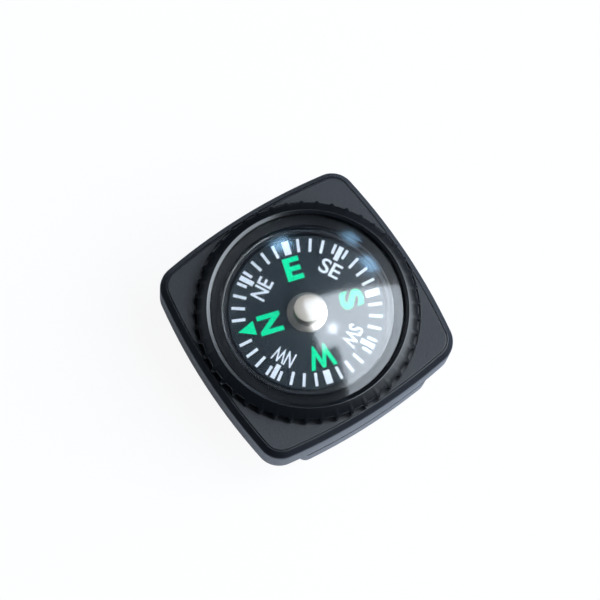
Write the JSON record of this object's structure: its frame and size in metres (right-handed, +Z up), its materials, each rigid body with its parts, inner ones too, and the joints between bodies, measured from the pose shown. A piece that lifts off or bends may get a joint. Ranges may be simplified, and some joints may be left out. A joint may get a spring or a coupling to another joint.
{
  "type": "strap compass",
  "caption": "Small square slip-on compass with a strap loop underneath, a ribbed turning bezel and a clear dry capsule in which a card swings on a needle.",
  "frame": {"origin": "middle of the underside of the strap loop", "axes": "+Z up through the needle, +X along the strap, Y across it from leg to leg of the loop"},
  "size_m": [0.0242, 0.0242, 0.0143],
  "materials": {
    "case_plastic": "moulded ABS with a fine matte texture",
    "bezel_plastic": "moulded ABS, satin",
    "cup_plastic": "moulded ABS, smooth",
    "clear_acrylic": "clear polished acrylic",
    "needle_steel": "ground steel",
    "jewel_glass": "polished glass jewel",
    "setting_brass": "turned brass",
    "cap_nickel": "turned and nickel-plated",
    "card_sheet": "matte printed sheet",
    "magnet_ferrite": "sintered ferrite",
    "white_ink": "matte screen-printed ink",
    "green_ink": "matte screen-printed ink"
  },
  "bodies": {
    "case": {"top_case": "case_plastic", "back_cover": "case_plastic", "capsule_dome": "clear_acrylic", "capsule_cup": "cup_plastic", "pivot_needle": "needle_steel"},
    "bezel": {"bezel_ring": "bezel_plastic"},
    "jewel": {"pivot_jewel": "jewel_glass"},
    "setting": {"jewel_setting": "setting_brass"},
    "card": {"bearing_cap": "cap_nickel", "compass_card": "card_sheet", "card_magnet": "magnet_ferrite", "card_scale": "white_ink", "north_arrow": "green_ink"}
  },
  "joints": [
    {"name": "bezel_turn", "type": "hinge", "parent": "case", "child": "bezel", "pos_m": [0, 0, 0.0107], "axis": [0, 0, 1], "continuous": true},
    {"name": "card_spin", "type": "hinge", "parent": "case", "child": "jewel", "pos_m": [0, 0, 0.0115], "axis": [0, 0, 1], "continuous": true},
    {"name": "card_dip", "type": "hinge", "parent": "jewel", "child": "setting", "pos_m": [0, 0, 0.0115], "axis": [0.2672, 0.9636, 0], "range_deg": [-5, 5]},
    {"name": "card_roll", "type": "hinge", "parent": "setting", "child": "card", "pos_m": [0, 0, 0.0115], "axis": [-0.9636, 0.2672, 0], "range_deg": [-5, 5]}
  ]
}
